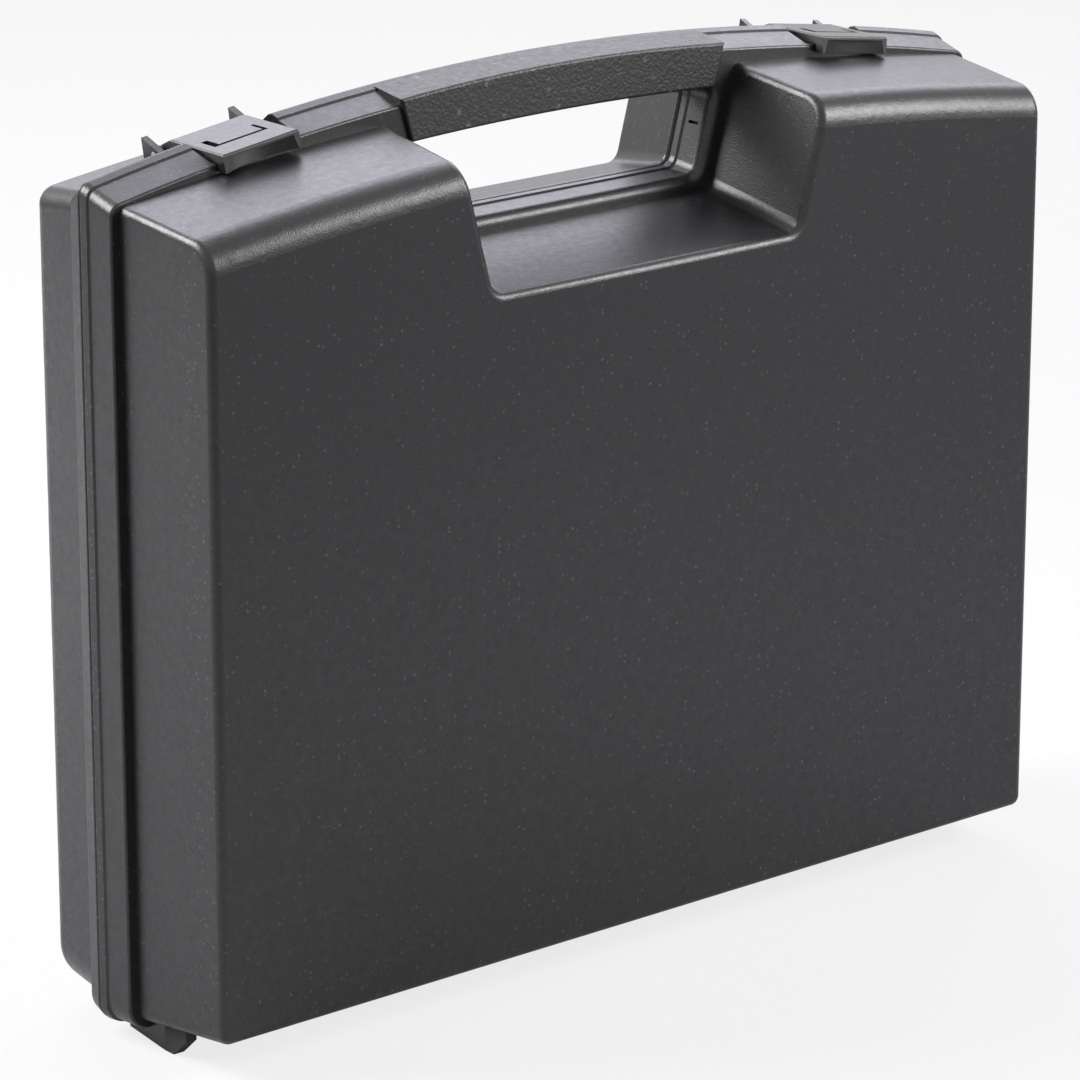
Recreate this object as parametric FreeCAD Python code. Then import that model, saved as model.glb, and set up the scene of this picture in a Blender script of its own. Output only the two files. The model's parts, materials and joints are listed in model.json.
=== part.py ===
import FreeCAD, Part
import math
import os
from collections import namedtuple

from FreeCAD import Placement, Rotation, Vector

# A moulded plastic transit case that stands on its hinge side. Lengths are millimetres, angles are degrees.
# X runs along the width, the deep front tray faces -Y, Z is up and the feet stand on Z = 0.

# Both trays, where they meet their rims
tray_half_width = 167.0
tray_crown_height = 264.2
tray_crown_radius = 1125.0
tray_wall = 2.8
cavity_corner = 2.0
cavity_chamfer = 3.5
cavity_notch_corner = 8.0

# The notch under the handle
notch_half_width = 59.1
notch_depth = 40.7
notch_lean = 15.0
notch_lower_corner = 5.0
notch_edge_round = 2.6

# Front tray: how far its walls draw in and its notch widens towards its face, and how its edges are rounded
front_depth = 41.0
front_side_draft = 2.1
front_bottom_draft = 4.0
front_top_draft = 5.2
front_floor_draft = 7.4
front_notch_flare = 1.4
front_top_round = 10.0
front_edge_round = 2.6
front_lower_corner = 3.4

# Back tray
back_depth = 27.0
back_side_draft = 2.2
back_bottom_draft = 2.6
back_top_draft = 3.4
back_floor_draft = 4.4
back_notch_flare = 5.4
back_top_round = 6.0
back_edge_round = 6.0
back_lower_corner = 14.0

# Rims of the two halves, which meet at the parting plane
rim_depth = 14.0
rim_proud = 3.0
rim_flare = 1.2
rim_crown_rise = 5.3
rim_crown_flare = 4.7
rim_crown_radius = 842.0
rim_lower_corner = 7.5
rim_upper_corner = 4.0
rim_edge_round = 0.8
parting_edge_round = 0.6
bead_width = 3.2
bead_proud = 0.5
bead_ramp = 0.6
flange_depth = 6.0
flange_share = 0.1
parting_gap = 0.15

# Tongue on the back half and groove in the front half
tongue_width = 2.0
tongue_height = 1.8
tongue_inset = 1.9
tongue_clearance = 0.35

# Hand hole and handle
hand_hole_inset = 4.5
hand_hole_flare = 1.1
hand_hole_floor_flare = 1.7
hand_hole_edge_round = 3.4
hand_hole_parting_round = 1.4
side_slot_length = 4.3
side_slot_height = 0.9
side_slot_depth = 1.4
side_slot_rise = 15.0
side_slot_setback = 4.4
hand_hole_lower_corner = 4.0
hand_hole_upper_corner = 4.0
handle_drop = 7.0
handle_arch_radius = 1114.0
handle_wall = 2.8
grip_half_length = 64.5
grip_skin = 2.2
grip_proud = 1.5
grip_face = 2.5
grip_crown_rise = 2.6
grip_crown_radius = 730.0
grip_back_rise = 0.5
grip_back_margin = 2.0
grip_end_lean = 15.0
grip_edge_round = 1.0

# Latches, which turn on pins behind the rim and hook over the front rim's step
latch_inset = 48.5
latch_half_width = 14.0
latch_thickness = 3.0
latch_sink = 1.3
latch_seat_gap = 0.3
latch_side_gap = 0.8
latch_inner_gap = 2.0
latch_lip_thickness = 3.0
latch_lip_gap = 0.3
latch_lip_drop = 2.5
latch_lip_kick = 0.6
latch_back_reach = 7.2
latch_brow = 1.2
latch_scoop_half_width = 11.5
latch_scoop_depth = 2.0
latch_edge_round = 0.7
latch_knuckle_radius = 2.3
latch_slot_width = 1.3
latch_slot_end_width = 2.4
latch_tongue_half_width = 8.0
latch_tongue_length = 6.0
latch_tongue_setback = 7.5
pin_setback = 13.5
pin_drop = 6.0
latch_pin_radius = 1.2
lug_thickness = 2.2
lug_side_gap = 1.0
lug_front_reach = 4.3
lug_back_reach = 5.4
lug_tip_height = 4.6
lug_front_height = 0.8
lug_root = 4.4

# Hinges under the rim
hinge_inset = 77.0
hinge_knuckle_length = 14.0
hinge_knuckle_gap = 0.3
hinge_knuckle_radius = 3.7
hinge_pocket_gap = 0.4
hinge_pin_radius = 1.6
running_clearance = 0.05

# Feet: narrow fins with dark toes under the front half, and corner blocks with pads under the back half
foot_height = 4.2
fin_inset = 6.9
fin_half_width = 1.9
bracket_reach = 6.6
bracket_back_gap = 2.6
bracket_heel_rise = 2.2
toe_length = 11.0
toe_slope_length = 6.6
toe_slope_height = 6.0
pad_seat_gap = 0.05
corner_block_width = 42.0
rear_pad_inset = 27.0
rear_pad_half_width = 8.0
rear_pad_setback = 5.0
rear_pad_length = 13.0
rear_pad_chamfer = 2.0

# Shared working sizes
overrun = 5.0
overlap = 1.5

sharp_turn = 20.0
hand_hole_back_share = 0.2

Tray = namedtuple(
    "Tray", "depth side bottom drop top floor flare inset top_round edge_round lower_corner")
front_tray = Tray(front_depth, front_side_draft, front_bottom_draft, 0, front_top_draft, front_floor_draft,
                  front_notch_flare, 0, front_top_round, front_edge_round, front_lower_corner)
back_tray = Tray(back_depth, back_side_draft, back_bottom_draft, 0, back_top_draft, back_floor_draft,
                 back_notch_flare, hand_hole_inset, back_top_round, back_edge_round, back_lower_corner)

# Places that follow from the sizes above
tray_bottom = foot_height + rim_flare + rim_proud
tray_crown = tray_bottom + tray_crown_height
notch_floor = tray_crown - notch_depth
rim_crown = tray_crown + rim_crown_rise
parting_crown = rim_crown + rim_crown_flare
hand_hole_crown = tray_crown - handle_drop
case_depth = front_depth + rim_depth + flange_depth + back_depth
face_y = -case_depth / 2
step_y = face_y + front_depth
parting_y = step_y + rim_depth
flange_y = parting_y + flange_depth
back_y = flange_y + back_depth
hinge_z = foot_height
hinge_offset = tray_half_width - hinge_inset
latch_offset = tray_half_width - latch_inset
fin_offset = tray_half_width - fin_inset
rear_pad_offset = tray_half_width - rear_pad_inset
bead_y = parting_y - bead_width
hinge_length = 3 * hinge_knuckle_length + 2 * hinge_knuckle_gap


def rounded_corner(corner, to_before, to_after, radius):
    """Start, middle and end of the arc that rounds a corner between two straight runs."""
    half = to_before.getAngle(to_after) / 2
    inward = (to_before + to_after).normalize()
    along = radius / math.tan(half)
    centre = corner + inward * (radius / math.sin(half))
    return [corner + to_before * along, centre - inward * radius, corner + to_after * along]


def arch_corner(arch_centre, arch_radius, foot, upward, inward, radius):
    """Points of the arc that rounds a corner between a straight run, which climbs from foot, and an arch."""
    start = foot + inward * radius - arch_centre
    climb = start.dot(upward)
    spare = start.dot(start) - (arch_radius - radius) ** 2
    centre = arch_centre + start + upward * (math.sqrt(climb ** 2 - spare) - climb)
    outward = (centre - arch_centre).normalize()
    bulge = (outward - inward).normalize()
    return [centre - inward * radius, centre + bulge * radius, centre + outward * radius]


def mirrored(points):
    """The same points on the other side of the case, in the opposite order."""
    return [Vector(-point.x, point.y, point.z) for point in reversed(points)]


def join_arcs(right_arcs, arch_centre, arch_radius):
    """One closed wire from the rounded corners of its right half, with the arch at its top."""
    arcs = right_arcs + [mirrored(arc) for arc in reversed(right_arcs)]
    arch_joins = (1, len(arcs) - 3)
    edges = []
    for index, arc in enumerate(arcs):
        following = arcs[(index + 1) % len(arcs)]
        start, end = arc[2], following[0]
        edges.append(Part.Arc(*arc).toShape())
        if index in arch_joins:
            middle = arch_centre + ((start + end) / 2 - arch_centre).normalize() * arch_radius
            edges.append(Part.Arc(start, middle, end).toShape())
        else:
            edges.append(Part.makeLine(start, end))
    return Part.Wire(edges)


def leaning(side, lean):
    """Directions up and across a wall that leans outwards on the given side."""
    angle = math.radians(lean)
    upward = Vector(side * math.sin(angle), 0, math.cos(angle))
    across = Vector(side * math.cos(angle), 0, -math.sin(angle))
    return upward, across


def arched_outline(y, half_width, bottom, crown, crown_radius, lower_round, upper_round, lean=0.0, notch=None):
    """Outline with a flat bottom, two sides and an arched top, which a notch may interrupt."""
    arch_centre = Vector(0, y, crown - crown_radius)
    foot = Vector(half_width, y, bottom)
    upward, across = leaning(1, lean)
    arcs = [
        rounded_corner(foot, Vector(-1, 0, 0), upward, lower_round),
        arch_corner(arch_centre, crown_radius, foot, upward, -across, upper_round),
    ]
    if notch:
        notch_half, floor = notch
        notch_foot = Vector(notch_half, y, floor)
        wall_up, wall_across = leaning(1, notch_lean)
        top = arch_corner(arch_centre, crown_radius, notch_foot, wall_up, wall_across, cavity_notch_corner)
        arcs.append(list(reversed(top)))
        arcs.append(rounded_corner(notch_foot, wall_up, Vector(-1, 0, 0), notch_lower_corner))
    return join_arcs(arcs, arch_centre, crown_radius)


def tray_outline(tray, depth, y, inset):
    """A tray's section at a depth behind its face, inset from its outer surface."""
    drawn = 1 - depth / tray.depth
    return arched_outline(
        y,
        tray_half_width - tray.side * drawn - inset,
        tray_bottom + tray.bottom * drawn + inset,
        tray_crown - tray.top * drawn - inset,
        tray_crown_radius,
        max(cavity_corner, tray.lower_corner - inset),
        max(cavity_corner, tray.edge_round - inset),
        notch=(notch_half_width + (tray.flare - tray.inset) * drawn + inset,
               notch_floor - (tray.floor - tray.inset) * drawn - inset),
    )


def rim_outline(y, share, sink=0):
    """Outer outline of the rims: share 0 is the step on the front half, and 1 the parting plane."""
    proud = rim_proud + rim_flare * share - sink
    return arched_outline(
        y,
        tray_half_width + proud,
        tray_bottom - proud,
        rim_crown + rim_crown_flare * share - sink,
        rim_crown_radius,
        rim_lower_corner,
        rim_upper_corner,
    )


def hand_hole_outline(y, share, sink=0):
    """Outline of the hole under the handle, which narrows towards the parting plane."""
    return arched_outline(
        y,
        notch_half_width - hand_hole_inset - hand_hole_flare * share + sink,
        notch_floor + hand_hole_inset + hand_hole_floor_flare * share - sink,
        hand_hole_crown,
        handle_arch_radius,
        hand_hole_lower_corner,
        hand_hole_upper_corner,
        lean=notch_lean,
    )


def between(first, second):
    """Solid with straight walls between two outlines."""
    return Part.makeLoft([first, second], True, True)


def front_rim_loft(outline):
    """Solid along the front rim's depth, whose wall steps out to a bead beside the parting plane."""
    ramp_y = bead_y - bead_ramp
    sections = [
        outline(step_y, 0),
        outline(ramp_y, (ramp_y - step_y) / rim_depth, bead_proud),
        outline(bead_y, (bead_y - step_y) / rim_depth),
        outline(parting_y, 1),
    ]
    return Part.makeLoft(sections, True, True)


def edges_on_plane(shape, y):
    """Edges that lie wholly in the plane at this depth."""
    return [edge for edge in shape.Edges if abs(edge.BoundBox.YMin - y) + abs(edge.BoundBox.YMax - y) < parting_gap]


def hole_edges(shape, y):
    """Edges of the hand hole in the plane at this depth."""
    clear = notch_half_width + notch_depth * math.tan(math.radians(notch_lean))
    across = [edge for edge in edges_on_plane(shape, y) if edge.BoundBox.ZMin > notch_floor]
    return [edge for edge in across if max(-edge.BoundBox.XMin, edge.BoundBox.XMax) < clear]


def outer_edges(shape, y):
    """Edges in the plane at this depth that don't belong to the hand hole."""
    hole = [edge.hashCode() for edge in hole_edges(shape, y)]
    return [edge for edge in edges_on_plane(shape, y) if edge.hashCode() not in hole]


def block_outline(tray, depth, y):
    """A tray's outer section without its notch, with square upper corners."""
    drawn = 1 - depth / tray.depth
    half_width = tray_half_width - tray.side * drawn
    crown = tray_crown - tray.top * drawn
    foot = Vector(half_width, y, tray_bottom - tray.drop + tray.bottom * drawn)
    arch_height = math.sqrt(tray_crown_radius ** 2 - half_width ** 2)
    shoulder = Vector(half_width, y, crown - tray_crown_radius + arch_height)
    right = rounded_corner(foot, Vector(-1, 0, 0), Vector(0, 0, 1), tray.lower_corner)
    left = mirrored(right)
    far_shoulder = mirrored([shoulder])[0]
    return Part.Wire([
        Part.Arc(*right).toShape(),
        Part.makeLine(right[2], shoulder),
        Part.Arc(shoulder, Vector(0, y, crown), far_shoulder).toShape(),
        Part.makeLine(far_shoulder, left[0]),
        Part.Arc(*left).toShape(),
        Part.makeLine(left[2], right[0]),
    ])


def notch_outline(tray, depth, y):
    """Section of the space that the notch takes out of a tray, open far above the tray."""
    drawn = 1 - depth / tray.depth
    half_width = notch_half_width - tray.inset + tray.flare * drawn
    foot = Vector(half_width, y, notch_floor + tray.inset - tray.floor * drawn)
    upward, _ = leaning(1, notch_lean)
    right = rounded_corner(foot, Vector(-1, 0, 0), upward, notch_lower_corner)
    brow = foot + upward * (notch_depth + front_depth)
    left = mirrored(right)
    far_brow = mirrored([brow])[0]
    return Part.Wire([
        Part.Arc(*right).toShape(),
        Part.makeLine(right[2], brow),
        Part.makeLine(brow, far_brow),
        Part.makeLine(far_brow, left[0]),
        Part.Arc(*left).toShape(),
        Part.makeLine(left[2], right[0]),
    ])


def face_normal(face, point):
    """Outward direction of a face at a point on it."""
    return face.normalAt(*face.Surface.parameter(point))


def sharp_edges(shape, open_y):
    """Edges where two faces meet at an angle, away from the open plane."""
    found = []
    for edge in shape.Edges:
        faces = shape.ancestorsOfType(edge, Part.Face)
        in_open_plane = max(abs(edge.BoundBox.YMin - open_y), abs(edge.BoundBox.YMax - open_y)) < parting_gap
        if in_open_plane or len(faces) != 2:
            continue
        middle = edge.valueAt((edge.FirstParameter + edge.LastParameter) / 2)
        turn = face_normal(faces[0], middle).getAngle(face_normal(faces[1], middle))
        if math.degrees(turn) > sharp_turn:
            found.append(edge)
    return found


def tray_body(tray, closed_y, toward):
    """Outer solid of a tray, with rounded edges on its closed face, reaching a little into its rim."""
    reach = tray.depth + overlap
    open_y = closed_y + toward * reach
    block = between(block_outline(tray, 0, closed_y), block_outline(tray, reach, open_y))
    brow = max(edges_on_plane(block, closed_y), key=lambda edge: edge.BoundBox.ZMin)
    block = block.makeFillet(tray.top_round, [brow])
    block = block.makeFillet(tray.edge_round, sharp_edges(block, open_y))
    before = closed_y - toward * overrun
    behind = open_y + toward * overrun
    block = block.cut(between(notch_outline(tray, -overrun, before), notch_outline(tray, reach + overrun, behind)))
    return block.makeFillet(notch_edge_round, sharp_edges(block, open_y))


def tray_cavity(tray, closed_y, toward, open_y):
    """Space inside a tray and its rim, open at the parting plane."""
    edge_depth = tray_wall + cavity_chamfer
    sections = [
        tray_outline(tray, tray_wall, closed_y + toward * tray_wall, edge_depth),
        tray_outline(tray, edge_depth, closed_y + toward * edge_depth, tray_wall),
        tray_outline(tray, tray.depth, closed_y + toward * tray.depth, tray_wall),
        tray_outline(tray, tray.depth, open_y + toward * overrun, tray_wall),
    ]
    return Part.makeLoft(sections, True, True)


def side_slot(side):
    """Small slot in one side wall of the hand hole."""
    height = hand_hole_inset + side_slot_rise
    wall = notch_half_width - hand_hole_inset + side_slot_rise * math.tan(math.radians(notch_lean))
    reach = 2 * side_slot_depth
    left = side * wall - reach / 2
    return Part.makeBox(reach, side_slot_length, side_slot_height,
                        Vector(left, step_y + side_slot_setback, notch_floor + height))


def parting_ring(inner, outer, first_y, last_y):
    """Ring around the cavity's mouth, between two distances outside the cavity's wall."""
    def block(outside):
        wire = tray_outline(front_tray, front_tray.depth, first_y, tray_wall - outside)
        return Part.Face(wire).extrude(Vector(0, last_y - first_y, 0))
    return block(outer).cut(block(inner))


def tongue():
    """Raised ring on the back half's mating face."""
    root_y = parting_y + parting_gap + overlap
    return parting_ring(tongue_inset - tongue_width / 2, tongue_inset + tongue_width / 2,
                        parting_y - tongue_height, root_y)


def groove():
    """Groove in the front half's mating face that takes the tongue."""
    half = tongue_width / 2 + tongue_clearance
    return parting_ring(tongue_inset - half, tongue_inset + half,
                        parting_y - tongue_height - tongue_clearance, parting_y + overrun)


def handle_hollow(first_y, last_y):
    """Arched pocket that lightens the handle from its mating face."""
    half = grip_half_length - handle_wall - hand_hole_upper_corner
    bottom = hand_hole_crown + grip_skin + handle_wall
    top = rim_crown - handle_wall
    sag = half ** 2 / (2 * handle_arch_radius)
    low = [Vector(-half, first_y, bottom - sag), Vector(0, first_y, bottom), Vector(half, first_y, bottom - sag)]
    high = [Vector(half, first_y, top - sag), Vector(0, first_y, top), Vector(-half, first_y, top - sag)]
    edges = [Part.Arc(*low).toShape(), Part.makeLine(low[2], high[0])]
    edges += [Part.Arc(*high).toShape(), Part.makeLine(high[2], low[0])]
    return Part.Face(Part.Wire(edges)).extrude(Vector(0, last_y - first_y, 0))


def grip_outline(y, bottom, top):
    """Arched bar between the handle's underside and its top, with ends that lean as the notch's walls do."""
    slope = math.tan(math.radians(grip_end_lean))
    high_half = grip_half_length
    high_drop = high_half ** 2 / (2 * grip_crown_radius)
    low_half = high_half - (top - bottom) * slope
    low_drop = low_half ** 2 / (2 * handle_arch_radius)
    low = [Vector(-low_half, y, bottom - low_drop), Vector(0, y, bottom), Vector(low_half, y, bottom - low_drop)]
    high = [Vector(high_half, y, top - high_drop), Vector(0, y, top), Vector(-high_half, y, top - high_drop)]
    edges = [Part.Arc(*low).toShape(), Part.makeLine(low[2], high[0])]
    edges += [Part.Arc(*high).toShape(), Part.makeLine(high[2], low[0])]
    return Part.Wire(edges)


def handle_core():
    """The part of the front handle that stays inside the grip."""
    core = front_rim_loft(rim_outline)
    under = arched_outline(step_y + grip_face, tray_half_width, tray_bottom, hand_hole_crown + grip_skin,
                           handle_arch_radius, rim_lower_corner, rim_upper_corner)
    core = core.cut(Part.Face(under).extrude(Vector(0, rim_depth + overrun, 0)))
    ahead = Part.makeBox(2 * case_depth + 2 * tray_half_width, overrun + grip_face, parting_crown,
                         Vector(-case_depth - tray_half_width, step_y - overrun, 0))
    return core.cut(ahead)


def handle_grip():
    """Grip that wraps the front, the top and the underside of the front handle."""
    front = grip_outline(step_y - grip_proud, hand_hole_crown, rim_crown + grip_crown_rise)
    tail_y = parting_y - grip_back_margin
    tail_share = (tail_y - step_y) / rim_depth
    tail = grip_outline(tail_y, hand_hole_crown, rim_crown + rim_crown_flare * tail_share + grip_back_rise)
    bar = between(front, tail)
    bar = bar.makeFillet(grip_edge_round, edges_on_plane(bar, step_y - grip_proud))
    return bar.cut(handle_core())


def latch_placement(side):
    """Frame of a latch: its origin lies on the rim's arch at the parting plane, and X follows the arch."""
    x = side * latch_offset
    drop = rim_crown_radius - math.sqrt(rim_crown_radius ** 2 - x ** 2)
    tilt = math.degrees(math.asin(x / rim_crown_radius))
    return Placement(Vector(x, parting_y, parting_crown - drop), Rotation(Vector(0, 1, 0), tilt))


def across_case(points, half_width):
    """Prism along X from a closed outline of (depth, height) points in a latch's frame."""
    corners = [Vector(-half_width, depth, height) for depth, height in points]
    face = Part.Face(Part.makePolygon(corners + corners[:1]))
    return face.extrude(Vector(2 * half_width, 0, 0))


def rod(radius, half_length, depth, height):
    """Round bar along X."""
    return Part.makeCylinder(radius, 2 * half_length, Vector(-half_length, depth, height), Vector(1, 0, 0))


def latch_seat(side):
    """Recess in both rims that a latch lies in, with room to reach its inner end."""
    half = latch_half_width + latch_side_gap
    inner = half + latch_inner_gap
    left = -inner if side > 0 else -half
    floor = -latch_sink - latch_thickness - latch_seat_gap
    depth = rim_depth + flange_depth + 2 * overrun
    seat = Part.makeBox(half + inner, depth, latch_sink + latch_thickness + overrun,
                        Vector(left, -rim_depth - overrun, floor))
    return seat.transformGeometry(latch_placement(side).toMatrix())


def latch_slot():
    """U-shaped slot, wider at one end, that frees a spring tongue in the latch's plate."""
    front = -latch_tongue_setback
    wide_end = latch_tongue_half_width + latch_slot_end_width
    narrow_end = latch_tongue_half_width + latch_slot_width
    height = 2 * latch_thickness + overrun
    low = -latch_sink - 2 * latch_thickness
    whole = Part.makeBox(wide_end + narrow_end, latch_tongue_length + latch_slot_width, height,
                         Vector(-wide_end, front - latch_slot_width, low))
    kept = Part.makeBox(2 * latch_tongue_half_width, latch_tongue_length + overrun, height,
                        Vector(-latch_tongue_half_width, front, low))
    return whole.cut(kept)


def finger_scoop(lip_front, lip_low):
    """Shallow hollow in the lip's front, under the plate's edge, for a fingertip."""
    radius = (latch_scoop_half_width ** 2 + latch_scoop_depth ** 2) / (2 * latch_scoop_depth)
    height = -latch_sink - latch_brow - lip_low
    return Part.makeCylinder(radius, height, Vector(0, lip_front + latch_scoop_depth - radius, lip_low))


def latch(side):
    """Lever with a lip that hooks over the rim's step, and a knuckle on its pin."""
    top = -latch_sink
    under = top - latch_thickness
    lip_back = -rim_depth - latch_lip_gap
    lip_front = lip_back - latch_lip_thickness
    lip_low = under - latch_lip_drop
    lean = latch_knuckle_radius * math.sqrt(0.5)
    body = across_case([
        (lip_back, lip_low),
        (lip_back, under),
        (latch_back_reach, under),
        (pin_setback - lean, -pin_drop - lean),
        (pin_setback + lean, -pin_drop + lean),
        (latch_back_reach + latch_thickness / 2, top),
        (lip_front, top),
        (lip_front - latch_lip_kick, lip_low),
    ], latch_half_width)
    upper = [edge for edge in body.Edges if abs(edge.BoundBox.ZMin - top) + abs(edge.BoundBox.ZMax - top)
             < latch_seat_gap and edge.BoundBox.YMin < 0]
    body = body.makeFillet(latch_edge_round, upper)
    knuckle_half = latch_half_width + lug_side_gap - latch_side_gap / 2
    body = body.fuse(rod(latch_knuckle_radius, knuckle_half, pin_setback, -pin_drop))
    body = body.cut(rod(latch_pin_radius + running_clearance, knuckle_half + overrun, pin_setback, -pin_drop))
    body = body.cut([latch_slot(), finger_scoop(lip_front, lip_low)])
    body.Placement = latch_placement(side)
    return body


def latch_lugs(side):
    """Pair of fins on the back tray that hold a latch's pin."""
    inner = latch_half_width + lug_side_gap
    profile = [
        (pin_setback - lug_front_reach, -pin_drop - lug_root),
        (pin_setback - lug_front_reach, -pin_drop + lug_front_height),
        (pin_setback + lug_back_reach, -pin_drop + lug_tip_height),
        (pin_setback + lug_back_reach, -pin_drop - lug_root),
    ]
    pair = across_case(profile, inner + lug_thickness)
    gap = Part.makeBox(2 * inner, rim_depth + back_depth, rim_depth + lug_root + pin_drop,
                       Vector(-inner, 0, -pin_drop - lug_root - overlap))
    pair = pair.cut(gap)
    pair = pair.cut(rod(latch_pin_radius + running_clearance, inner + lug_thickness + overrun,
                        pin_setback, -pin_drop))
    pair.Placement = latch_placement(side)
    return pair


def latch_room(side):
    """Space behind the rim that a latch's tail and knuckle turn in."""
    floor = -latch_sink - latch_thickness - latch_seat_gap
    reach = latch_knuckle_radius + latch_seat_gap
    room = across_case([
        (0, floor),
        (latch_back_reach, floor),
        (pin_setback, -pin_drop - reach),
        (pin_setback + reach, -pin_drop),
        (pin_setback + reach, overrun),
        (0, overrun),
    ], latch_half_width + lug_side_gap)
    room.Placement = latch_placement(side)
    return room


def latch_pin(side):
    """Steel pin through a latch and its two lugs."""
    pin = rod(latch_pin_radius, latch_half_width + lug_side_gap + lug_thickness, pin_setback, -pin_drop)
    pin.Placement = latch_placement(side)
    return pin


def along_hinge(radius, centre, length):
    """Round bar on the hinge line, centred at X = centre."""
    return Part.makeCylinder(radius, length, Vector(centre - length / 2, parting_y, hinge_z), Vector(1, 0, 0))


def outer_knuckle_places(side):
    """Middles of the two knuckles that the front half carries at one hinge."""
    pitch = hinge_knuckle_length + hinge_knuckle_gap
    return [side * hinge_offset - pitch, side * hinge_offset + pitch]


def hinge_pin(side):
    """Steel pin through the three knuckles of one hinge."""
    return along_hinge(hinge_pin_radius, side * hinge_offset, hinge_length)


def hinge_bores():
    """Holes for both hinge pins, as long as the three knuckles together."""
    radius = hinge_pin_radius + running_clearance
    return [along_hinge(radius, side * hinge_offset, hinge_length) for side in (-1, 1)]


def knuckles(places):
    """Knuckles of one half, at the given places along X."""
    return [along_hinge(hinge_knuckle_radius, place, hinge_knuckle_length) for place in places]


def knuckle_pockets(places):
    """Room in one half for the other half's knuckles."""
    radius = hinge_knuckle_radius + hinge_pocket_gap
    length = hinge_knuckle_length + 2 * hinge_knuckle_gap
    return [along_hinge(radius, place, length) for place in places]


def along_x(points, centre, half_width):
    """Prism along X from a closed outline of (y, z) points."""
    corners = [Vector(centre - half_width, y, z) for y, z in points]
    face = Part.Face(Part.makePolygon(corners + corners[:1]))
    return face.extrude(Vector(2 * half_width, 0, 0))


def front_underside(y):
    """Height of the front tray's bottom at a depth."""
    return tray_bottom + front_bottom_draft * (step_y - y) / front_depth


def block_underside(y):
    """Height of the corner blocks' bottom at a depth."""
    return foot_height + back_bottom_draft * (y - flange_y) / back_depth


def foot_bracket(side):
    """Moulded fin under the front half's rim, which keeps the hinges off the floor."""
    ahead = step_y - bracket_reach
    behind = parting_y - bracket_back_gap
    profile = [
        (ahead, 0),
        (behind, bracket_heel_rise),
        (behind, tray_bottom),
        (ahead, front_underside(ahead) + tray_wall / 2),
    ]
    return along_x(profile, side * fin_offset, fin_half_width)


def front_foot(side):
    """Dark toe ahead of a moulded fin, with a sloping front."""
    heel = step_y - bracket_reach - pad_seat_gap
    tip = heel - toe_length
    profile = [
        (heel, 0),
        (heel, front_underside(heel) - pad_seat_gap),
        (tip, front_underside(tip) - pad_seat_gap),
        (tip, toe_slope_height),
        (tip + toe_slope_length, 0),
    ]
    return along_x(profile, side * fin_offset, fin_half_width)


def back_tray_on_blocks():
    """Back tray whose lower corners are solid blocks, level with the rim's underside."""
    lowered = tray_body(back_tray._replace(drop=rim_proud + rim_flare), back_y, -1)
    half = tray_half_width - corner_block_width
    room = Part.makeBox(2 * half, back_depth + 2 * overrun, rim_proud + overrun + back_edge_round,
                        Vector(-half, flange_y - overrun, foot_height - overlap))
    return lowered.cut(room.cut(tray_body(back_tray, back_y, -1)))


def rear_foot(side):
    """Dark pad under a corner block."""
    heel = back_y - back_edge_round - rear_pad_setback
    toe = heel - rear_pad_length
    profile = [
        (toe, 0),
        (toe, block_underside(toe) - pad_seat_gap),
        (heel, block_underside(heel) - pad_seat_gap),
        (heel, rear_pad_chamfer),
        (heel - rear_pad_chamfer, 0),
    ]
    return along_x(profile, side * rear_pad_offset, rear_pad_half_width)


def front_shell(grip):
    """Deep front half: tray, rim, front of the handle, feet and outer hinge knuckles."""
    rim = front_rim_loft(rim_outline).cut(front_rim_loft(hand_hole_outline))
    rim = rim.makeFillet(rim_edge_round, outer_edges(rim, step_y))
    rim = rim.makeFillet(hand_hole_edge_round, hole_edges(rim, step_y))
    rim = rim.makeFillet(parting_edge_round, outer_edges(rim, parting_y))
    rim = rim.makeFillet(hand_hole_parting_round, hole_edges(rim, parting_y))
    outer = [place for side in (-1, 1) for place in outer_knuckle_places(side)]
    middle = [side * hinge_offset for side in (-1, 1)]
    shell = rim.fuse(tray_body(front_tray, face_y, 1))
    shell = shell.fuse([foot_bracket(side) for side in (-1, 1)] + knuckles(outer))
    shell = shell.cut(tray_cavity(front_tray, face_y, 1, parting_y))
    shell = shell.cut([groove(), handle_hollow(step_y + 2 * grip_face, parting_y + overrun)])
    shell = shell.cut([latch_seat(side) for side in (-1, 1)] + [side_slot(side) for side in (-1, 1)])
    shell = shell.cut(knuckle_pockets(middle) + hinge_bores())
    return shell.cut(grip)


def back_shell():
    """Shallow back half: tray, flange, back of the handle, latch lugs and middle hinge knuckles."""
    mating_y = parting_y + parting_gap
    flange = between(rim_outline(mating_y, 1), rim_outline(flange_y, flange_share))
    flange = flange.cut(between(hand_hole_outline(mating_y, 1), hand_hole_outline(flange_y, hand_hole_back_share)))
    flange = flange.makeFillet(rim_edge_round, edges_on_plane(flange, flange_y))
    flange = flange.makeFillet(parting_edge_round, outer_edges(flange, mating_y))
    flange = flange.makeFillet(hand_hole_parting_round, hole_edges(flange, mating_y))
    outer = [place for side in (-1, 1) for place in outer_knuckle_places(side)]
    middle = [side * hinge_offset for side in (-1, 1)]
    shell = flange.fuse(back_tray_on_blocks())
    shell = shell.cut([latch_room(side) for side in (-1, 1)])
    shell = shell.fuse(knuckles(middle) + [latch_lugs(side) for side in (-1, 1)])
    shell = shell.cut(tray_cavity(back_tray, back_y, -1, mating_y))
    shell = shell.fuse(tongue())
    shell = shell.cut([latch_seat(side) for side in (-1, 1)])
    return shell.cut(knuckle_pockets(outer) + hinge_bores())


def save(name, shape):
    """Writes one piece as its own file."""
    shape.exportStep("parts/" + name + ".step")
    print(name, "solids", len(shape.Solids), "valid", shape.isValid(), "cm3", round(shape.Volume / 1000, 1))


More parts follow.
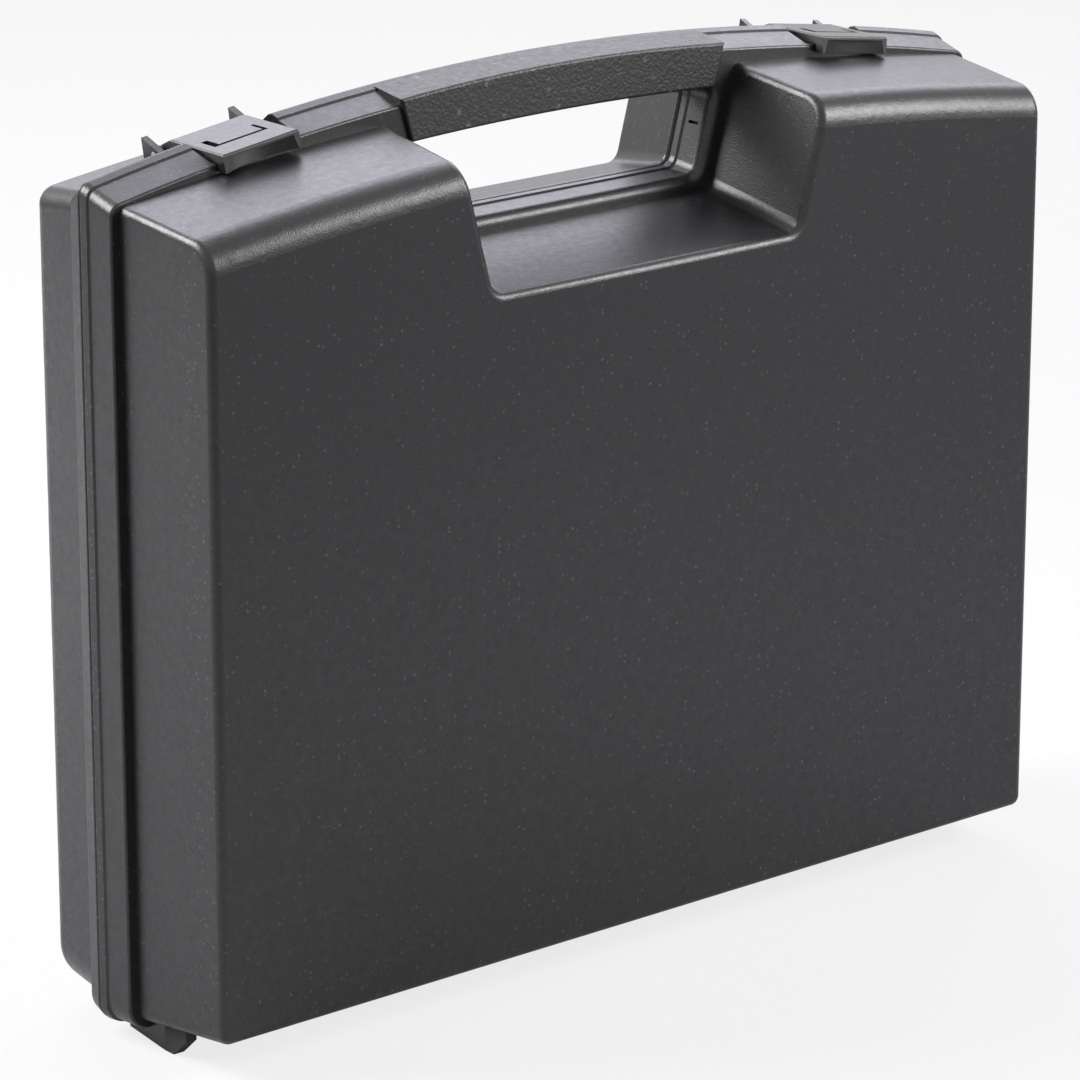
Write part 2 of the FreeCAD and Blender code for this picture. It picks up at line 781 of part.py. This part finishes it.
def main():
    os.makedirs("parts", exist_ok=True)
    grip = handle_grip()
    save("handle_grip", grip)
    save("front_shell", front_shell(grip))
    save("back_shell", back_shell())
    for side, name in ((-1, "left"), (1, "right")):
        save("latch_" + name, latch(side))
        save("latch_pin_" + name, latch_pin(side))
        save("hinge_pin_" + name, hinge_pin(side))
        save("foot_front_" + name, front_foot(side))
        save("foot_rear_" + name, rear_foot(side))


main()
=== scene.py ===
# %% [markdown]
# A moulded plastic transit case, dressed for a studio picture.
# The case comes from its construction model: two half shells, a grip, two latches, their pins and the feet.
# This lesson leaves those shapes alone and gives each of them the surface that it has on the real object.
# Everything is in metres, X runs along the case's width, the deep half faces -Y and Z is up.

# %% Load the case
import json
import math

import bpy
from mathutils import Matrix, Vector


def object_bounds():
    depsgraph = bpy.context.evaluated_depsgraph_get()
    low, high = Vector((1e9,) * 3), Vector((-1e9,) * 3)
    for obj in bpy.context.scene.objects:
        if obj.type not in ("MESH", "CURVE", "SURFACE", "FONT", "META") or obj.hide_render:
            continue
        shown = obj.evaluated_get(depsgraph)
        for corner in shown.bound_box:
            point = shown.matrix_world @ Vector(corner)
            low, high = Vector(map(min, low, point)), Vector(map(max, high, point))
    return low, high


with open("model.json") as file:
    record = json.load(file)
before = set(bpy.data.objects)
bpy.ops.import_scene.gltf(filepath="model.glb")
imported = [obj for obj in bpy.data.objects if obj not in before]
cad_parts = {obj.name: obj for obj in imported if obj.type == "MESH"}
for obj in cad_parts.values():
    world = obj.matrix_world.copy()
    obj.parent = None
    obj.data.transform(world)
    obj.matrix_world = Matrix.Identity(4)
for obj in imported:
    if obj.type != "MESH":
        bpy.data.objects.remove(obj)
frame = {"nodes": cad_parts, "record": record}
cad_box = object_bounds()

nodes = frame["nodes"]
print("pieces:", ", ".join(sorted(nodes)))
print("box from", [round(v, 4) for v in cad_box[0]], "to", [round(v, 4) for v in cad_box[1]])

# %% [markdown]
# Every surface here is made by nodes, so a small vocabulary saves a lot of typing.
# One helper adds a node with its settings, and another joins an output to an input.
# They could be left out, but then each material would be a page of bookkeeping instead of a recipe.

# %% Small helpers for node trees
MILLIMETRE = 0.001


def add(tree, kind, **settings):
    node = tree.nodes.new(kind)
    for name, value in settings.items():
        setattr(node, name, value)
    return node


def join(tree, output, target):
    tree.links.new(output, target)


def set_inputs(node, **values):
    for name, value in values.items():
        node.inputs[name.replace("_", " ")].default_value = value


def new_group(name, inputs, outputs):
    tree = bpy.data.node_groups.new(name, "ShaderNodeTree")
    for label, default in inputs.items():
        socket = tree.interface.new_socket(label, in_out="INPUT", socket_type="NodeSocketFloat")
        socket.default_value = default
    for label in outputs:
        tree.interface.new_socket(label, in_out="OUTPUT", socket_type="NodeSocketFloat")
    return tree, add(tree, "NodeGroupInput"), add(tree, "NodeGroupOutput")


print("helpers ready")

# %% [markdown]
# The skin of a moulded case copies its steel mould, which has been spark eroded or etched to a fine grain.
# Close up it is a field of small hills and round pits, about half a millimetre across.
# A bump picture could be painted, but it would need unwrapped faces and would stretch over the corners.
# Noise in the object's own space has no seams, and its scale is a real size, so one recipe fits every piece.

# %% Group: moulded grain
MOTTLE_PATCHES_PER_METRE = 420.0


def scale_from_size(tree, size):
    scale = add(tree, "ShaderNodeMath", operation="DIVIDE")
    scale.inputs[0].default_value = 1
    join(tree, size, scale.inputs[1])
    return scale.outputs[0]


def noise(tree, place, scale, detail):
    texture = add(tree, "ShaderNodeTexNoise")
    set_inputs(texture, Detail=detail)
    join(tree, place, texture.inputs["Vector"])
    if isinstance(scale, bpy.types.NodeSocket):
        join(tree, scale, texture.inputs["Scale"])
    else:
        set_inputs(texture, Scale=scale)
    return texture.outputs["Fac"]


def make_moulded_grain():
    tree, given, result = new_group("moulded_grain", {"Grain Size": MILLIMETRE}, ["Height", "Mottle"])
    place = add(tree, "ShaderNodeTexCoord").outputs["Object"]
    scale = scale_from_size(tree, given.outputs["Grain Size"])
    hills = noise(tree, place, scale, detail=2.0)
    pits = add(tree, "ShaderNodeTexVoronoi")
    join(tree, place, pits.inputs["Vector"])
    join(tree, scale, pits.inputs["Scale"])
    height = add(tree, "ShaderNodeMath", operation="ADD")
    join(tree, hills, height.inputs[0])
    join(tree, pits.outputs["Distance"], height.inputs[1])
    join(tree, height.outputs[0], result.inputs["Height"])
    join(tree, noise(tree, place, MOTTLE_PATCHES_PER_METRE, detail=3.0), result.inputs["Mottle"])
    return tree


moulded_grain = make_moulded_grain()
print("made", moulded_grain.name, "with", len(moulded_grain.nodes), "nodes")

# %% [markdown]
# A few grains of the case catch the light and glint; those glints are painted into the charcoal's colour as
# pale specks, a painted highlight.
# A threshold on noise would give blots of one strength, which look like mould.
# The cells of a Voronoi pattern are used instead: each has one point at a random place, and a random colour.
# The point becomes a round speck, and the colour decides how pale it is: most are faint and few are bright.

# %% Group: painted glint specks
RARITY_OF_BRIGHT_SPECKS = 5


def make_painted_glint_specks():
    tree, given, result = new_group("painted_glint_specks", {"Spacing": MILLIMETRE, "Width Share": 0.36}, ["Mask"])
    # Each cell's round speck is a painted glint: colour standing in for a grain that catches the light.
    cells = add(tree, "ShaderNodeTexVoronoi")
    join(tree, add(tree, "ShaderNodeTexCoord").outputs["Object"], cells.inputs["Vector"])
    join(tree, scale_from_size(tree, given.outputs["Spacing"]), cells.inputs["Scale"])
    near = add(tree, "ShaderNodeMapRange", interpolation_type="SMOOTHSTEP")
    set_inputs(near, To_Min=1.0, To_Max=0.0)
    join(tree, cells.outputs["Distance"], near.inputs["Value"])
    join(tree, given.outputs["Width Share"], near.inputs["From Max"])
    chance = add(tree, "ShaderNodeSeparateColor")
    join(tree, cells.outputs["Color"], chance.inputs[0])
    rare = add(tree, "ShaderNodeMath", operation="POWER")
    rare.inputs[1].default_value = RARITY_OF_BRIGHT_SPECKS
    join(tree, chance.outputs[0], rare.inputs[0])
    mask = add(tree, "ShaderNodeMath", operation="MULTIPLY")
    join(tree, near.outputs["Result"], mask.inputs[0])
    join(tree, rare.outputs[0], mask.inputs[1])
    join(tree, mask.outputs[0], result.inputs["Mask"])
    return tree


painted_glint_specks = make_painted_glint_specks()
print("made", painted_glint_specks.name, "with", len(painted_glint_specks.nodes), "nodes")

# %% [markdown]
# A case that has been handled carries a few hairline scuffs, and the picture shows one on the front.
# Drawing each scratch as a curve would be work, and they would all end up where the author was looking.
# The borders between large Voronoi cells are straight lines in every direction.
# A slow noise wipes most of their length away, and what is left reads as scattered, broken scratches.

# %% Group: hairline scuffs
SCUFF_CELL = 55 * MILLIMETRE
SCUFF_GAPS_PER_METRE = 45.0


def make_hairline_scuffs():
    tree, given, result = new_group("hairline_scuffs", {"Line Width": 0.1 * MILLIMETRE}, ["Mask"])
    place = add(tree, "ShaderNodeTexCoord").outputs["Object"]
    borders = add(tree, "ShaderNodeTexVoronoi", feature="DISTANCE_TO_EDGE")
    set_inputs(borders, Scale=1.0)
    shrunk = add(tree, "ShaderNodeVectorMath", operation="SCALE")
    set_inputs(shrunk, Scale=1 / SCUFF_CELL)
    join(tree, place, shrunk.inputs[0])
    join(tree, shrunk.outputs[0], borders.inputs["Vector"])
    width = add(tree, "ShaderNodeMath", operation="DIVIDE")
    width.inputs[1].default_value = SCUFF_CELL
    join(tree, given.outputs["Line Width"], width.inputs[0])
    line = add(tree, "ShaderNodeMapRange")
    set_inputs(line, To_Min=1.0, To_Max=0.0)
    join(tree, borders.outputs["Distance"], line.inputs["Value"])
    join(tree, width.outputs[0], line.inputs["From Max"])
    kept = add(tree, "ShaderNodeMapRange")
    set_inputs(kept, From_Min=0.56, From_Max=0.72)
    join(tree, noise(tree, place, SCUFF_GAPS_PER_METRE, detail=4.0), kept.inputs["Value"])
    mask = add(tree, "ShaderNodeMath", operation="MULTIPLY")
    join(tree, line.outputs["Result"], mask.inputs[0])
    join(tree, kept.outputs["Result"], mask.inputs[1])
    join(tree, mask.outputs[0], result.inputs["Mask"])
    return tree


hairline_scuffs = make_hairline_scuffs()
print("made", hairline_scuffs.name, "with", len(hairline_scuffs.nodes), "nodes")

# %% [markdown]
# All the plastic pieces share one recipe: a dark colour, paler in the mottle, the painted glint specks and
# the scuffs.
# They differ in how dark, how coarse and how glossy they are, so the recipe is a function with those values.
# The alternative, one copied material for each piece, would drift apart at the first correction.

# %% Recipe: moulded plastic
GRAINS_BETWEEN_SPECKS = 3.2


def use_group(tree, group, **values):
    node = add(tree, "ShaderNodeGroup", node_tree=group)
    set_inputs(node, **values)
    return node


def mix_colour(tree, mask, first, second):
    mix = add(tree, "ShaderNodeMix", data_type="RGBA")
    join(tree, mask, mix.inputs["Factor"])
    for socket, colour in ((mix.inputs[6], first), (mix.inputs[7], second)):
        if isinstance(colour, bpy.types.NodeSocket):
            join(tree, colour, socket)
        else:
            socket.default_value = (*colour, 1)
    return mix.outputs[2]


def moulded_plastic(name, dark, light, glint_speck_colour, grain_mm, grain_depth_mm, roughness, gloss_swing):
    material = bpy.data.materials.new(name)
    material.use_nodes = True
    tree = material.node_tree
    shader = tree.nodes["Principled BSDF"]
    grain = use_group(tree, moulded_grain, Grain_Size=grain_mm * MILLIMETRE)
    glint_specks = use_group(tree, painted_glint_specks, Spacing=GRAINS_BETWEEN_SPECKS * grain_mm * MILLIMETRE)
    scuffs = use_group(tree, hairline_scuffs)
    colour = mix_colour(tree, grain.outputs["Mottle"], dark, light)
    # The pale specks are painted glints: colour in place of grains that catch the light.
    colour = mix_colour(tree, glint_specks.outputs["Mask"], colour, glint_speck_colour)
    colour = mix_colour(tree, scuffs.outputs["Mask"], colour, light)
    join(tree, colour, shader.inputs["Base Color"])
    gloss = add(tree, "ShaderNodeMapRange")
    set_inputs(gloss, To_Min=roughness + gloss_swing, To_Max=roughness - gloss_swing)
    join(tree, grain.outputs["Mottle"], gloss.inputs["Value"])
    join(tree, gloss.outputs["Result"], shader.inputs["Roughness"])
    bump = add(tree, "ShaderNodeBump")
    set_inputs(bump, Strength=1.0, Distance=grain_depth_mm * MILLIMETRE)
    join(tree, grain.outputs["Height"], bump.inputs["Height"])
    join(tree, bump.outputs["Normal"], shader.inputs["Normal"])
    return material


shell_plastic = moulded_plastic("charcoal_shell", dark=(0.002, 0.002, 0.003), light=(0.023, 0.023, 0.025),
                                glint_speck_colour=(0.09, 0.09, 0.095), grain_mm=0.6, grain_depth_mm=0.03,
                                roughness=0.35, gloss_swing=0.09)
grip_plastic = moulded_plastic("coarse_grip", dark=(0.005, 0.005, 0.005), light=(0.026, 0.026, 0.027),
                               glint_speck_colour=(0.18, 0.18, 0.18), grain_mm=1.1, grain_depth_mm=0.10,
                               roughness=0.46, gloss_swing=0.1)
latch_plastic = moulded_plastic("black_latch", dark=(0.005, 0.005, 0.006), light=(0.014, 0.014, 0.015),
                                glint_speck_colour=(0.12, 0.12, 0.12), grain_mm=0.4, grain_depth_mm=0.015,
                                roughness=0.36, gloss_swing=0.06)
foot_rubber = moulded_plastic("black_rubber", dark=(0.010, 0.010, 0.010), light=(0.020, 0.020, 0.020),
                              glint_speck_colour=(0.06, 0.06, 0.06), grain_mm=0.8, grain_depth_mm=0.06,
                              roughness=0.75, gloss_swing=0.06)
print("plastics:", [m.name for m in (shell_plastic, grip_plastic, latch_plastic, foot_rubber)])

# %% [markdown]
# The hinge and latch pins are drawn steel wire, scratched lengthwise by the die.
# Anisotropic gloss would also give the streaks, but only where the tangents behave, and a pin is tiny.
# A noise that is stretched along X does the same with colour, gloss and a trace of bump.

# %% Recipe: drawn steel
STREAKS_PER_METRE = (60, 2500, 2500)


def drawn_steel():
    material = bpy.data.materials.new("drawn_steel")
    material.use_nodes = True
    tree = material.node_tree
    shader = tree.nodes["Principled BSDF"]
    set_inputs(shader, Metallic=1.0)
    place = add(tree, "ShaderNodeTexCoord")
    stretch = add(tree, "ShaderNodeMapping")
    stretch.inputs["Scale"].default_value = STREAKS_PER_METRE
    join(tree, place.outputs["Object"], stretch.inputs["Vector"])
    streaks = add(tree, "ShaderNodeTexNoise")
    set_inputs(streaks, Scale=1.0, Detail=4.0)
    join(tree, stretch.outputs["Vector"], streaks.inputs["Vector"])
    colour = mix_colour(tree, streaks.outputs["Fac"], (0.42, 0.42, 0.43), (0.68, 0.68, 0.69))
    join(tree, colour, shader.inputs["Base Color"])
    gloss = add(tree, "ShaderNodeMapRange")
    set_inputs(gloss, To_Min=0.42, To_Max=0.26)
    join(tree, streaks.outputs["Fac"], gloss.inputs["Value"])
    join(tree, gloss.outputs["Result"], shader.inputs["Roughness"])
    bump = add(tree, "ShaderNodeBump")
    set_inputs(bump, Strength=0.6, Distance=0.01 * MILLIMETRE)
    join(tree, streaks.outputs["Fac"], bump.inputs["Height"])
    join(tree, bump.outputs["Normal"], shader.inputs["Normal"])
    return material


pin_steel = drawn_steel()
print("metal:", pin_steel.name)

# %% [markdown]
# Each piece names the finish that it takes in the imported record, so dressing the case is one short loop.
# The materials could be given by hand, one line for each piece, but a renamed piece would then be missed.

# %% Dress every piece
finishes = {"shell_plastic": shell_plastic, "grip_plastic": grip_plastic, "latch_plastic": latch_plastic,
            "foot_rubber": foot_rubber, "pin_steel": pin_steel}
for part in frame["record"]["subparts"]:
    piece = nodes[part["node"]]
    piece.data.materials.clear()
    piece.data.materials.append(finishes[part["material_slot"]])
    print(part["node"], "is", part["material_slot"])

# %% [markdown]
# The picture is taken with a long lens from the left, a little above the case.
# The long lens keeps the edges nearly parallel, as in a catalogue picture; a short one would splay them.
# The camera stands on a line from the point that it looks at, so turning the view needs one angle only.

# %% Camera
FOCAL_LENGTH_MM = 175.9
VIEW_AZIMUTH = math.radians(39.704)
VIEW_HEIGHT = math.radians(17.168)
VIEW_DISTANCE = 1.6265
look_at = Vector((-0.0240, -0.0202, 0.1362))

towards = Vector((math.sin(VIEW_AZIMUTH) * math.cos(VIEW_HEIGHT),
                  math.cos(VIEW_AZIMUTH) * math.cos(VIEW_HEIGHT),
                  -math.sin(VIEW_HEIGHT)))
camera_data = bpy.data.cameras.new("camera")
camera_data.lens = FOCAL_LENGTH_MM
camera_data.sensor_width = 36
camera = bpy.data.objects.new("camera", camera_data)
camera.location = look_at - towards * VIEW_DISTANCE
camera.rotation_euler = towards.to_track_quat("-Z", "Y").to_euler()
bpy.context.collection.objects.link(camera)
bpy.context.scene.camera = camera
print("camera at", [round(v, 3) for v in camera.location])

# %% [markdown]
# The case stands on a pale studio floor that runs out of sight.
# Lighting the floor until it is white would wash out the black plastic.
# So rays from the camera see most of it as plain white, and the rest of it keeps the shadow.
# Mirror rays see the white world too, but only a part of the floor's white, which the front would mirror.

# %% Floor and white surroundings
FLOOR_HALF_SIZE = 6.0
SHADOW_SHARE = 0.2
FLOOR_MIRROR_SHARE = 0.2
SKY_MIRROR_SHARE = 1.0


def seen_directly(tree, mirror_share):
    path = add(tree, "ShaderNodeLightPath")
    mirrored = add(tree, "ShaderNodeMath", operation="MULTIPLY")
    mirrored.inputs[1].default_value = mirror_share
    join(tree, path.outputs["Is Glossy Ray"], mirrored.inputs[0])
    straight = add(tree, "ShaderNodeMath", operation="MAXIMUM")
    join(tree, path.outputs["Is Camera Ray"], straight.inputs[0])
    join(tree, path.outputs["Is Transmission Ray"], straight.inputs[1])
    seen = add(tree, "ShaderNodeMath", operation="MAXIMUM")
    join(tree, straight.outputs[0], seen.inputs[0])
    join(tree, mirrored.outputs[0], seen.inputs[1])
    return seen.outputs[0]


def studio_floor():
    corners = [(x, y, 0) for x, y in ((-1, -1), (1, -1), (1, 1), (-1, 1))]
    mesh = bpy.data.meshes.new("floor")
    mesh.from_pydata([[v * FLOOR_HALF_SIZE for v in corner] for corner in corners], [], [(0, 1, 2, 3)])
    floor = bpy.data.objects.new("floor", mesh)
    bpy.context.collection.objects.link(floor)
    material = bpy.data.materials.new("floor_white")
    material.use_nodes = True
    tree = material.node_tree
    paint = tree.nodes["Principled BSDF"]
    set_inputs(paint, Base_Color=(0.6, 0.6, 0.6, 1), Roughness=0.9)
    white = add(tree, "ShaderNodeEmission")
    share = add(tree, "ShaderNodeMath", operation="MULTIPLY")
    share.inputs[1].default_value = 1 - SHADOW_SHARE
    join(tree, seen_directly(tree, FLOOR_MIRROR_SHARE), share.inputs[0])
    mix = add(tree, "ShaderNodeMixShader")
    join(tree, share.outputs[0], mix.inputs[0])
    join(tree, paint.outputs[0], mix.inputs[1])
    join(tree, white.outputs[0], mix.inputs[2])
    join(tree, mix.outputs[0], tree.nodes["Material Output"].inputs["Surface"])
    mesh.materials.append(material)
    return floor


def white_surroundings(lighting_level):
    world = bpy.data.worlds.new("studio")
    bpy.context.scene.world = world
    world.use_nodes = True
    tree = world.node_tree
    background = tree.nodes["Background"]
    strength = add(tree, "ShaderNodeMapRange")
    set_inputs(strength, To_Min=lighting_level, To_Max=1.0)
    join(tree, seen_directly(tree, SKY_MIRROR_SHARE), strength.inputs["Value"])
    join(tree, strength.outputs["Result"], background.inputs["Strength"])
    background.inputs["Color"].default_value = (1, 1, 1, 1)
    return world


floor = studio_floor()
white_surroundings(lighting_level=0.12)
print("floor", floor.name, "and white surroundings ready")

# %% [markdown]
# The pictured case is lit mostly from behind: its tops have a lavender sheen and its front stays dark.
# One lamp beside the camera would turn that around: a pale, flat front and dull tops.
# A wide box behind on the right makes the sheen, and a smaller one behind on the left lifts the side.
# The third stands at the right front and draws the bright band along the rounded top edge.
# It wears a grid, the narrow spread, so that it lights the case and not the floor that the front mirrors.

# %% Soft lamps
def soft_lamp(name, place, size, power, colour=(1, 1, 1), spread=180):
    data = bpy.data.lights.new(name, "AREA")
    data.shape = "RECTANGLE"
    data.size, data.size_y = size
    data.energy = power
    data.color = colour
    data.spread = math.radians(spread)
    lamp = bpy.data.objects.new(name, data)
    lamp.location = place
    lamp.visible_camera = False
    middle = (Vector(cad_box[0]) + Vector(cad_box[1])) / 2
    lamp.rotation_euler = (middle - Vector(place)).to_track_quat("-Z", "Y").to_euler()
    bpy.context.collection.objects.link(lamp)
    return lamp


lamps = [
    soft_lamp("back_right", place=(0.85, 0.95, 1.25), size=(1.6, 1.2), power=20, colour=(0.89, 0.865, 1.0)),
    soft_lamp("back_left", place=(-0.85, 0.75, 1.05), size=(0.8, 0.8), power=34),
    soft_lamp("front_right", place=(0.62, -0.62, 0.58), size=(0.5, 0.45), power=2.2, spread=80),
]
bpy.context.scene.view_settings.view_transform = "Standard"
print("lamps:", [lamp.name for lamp in lamps])
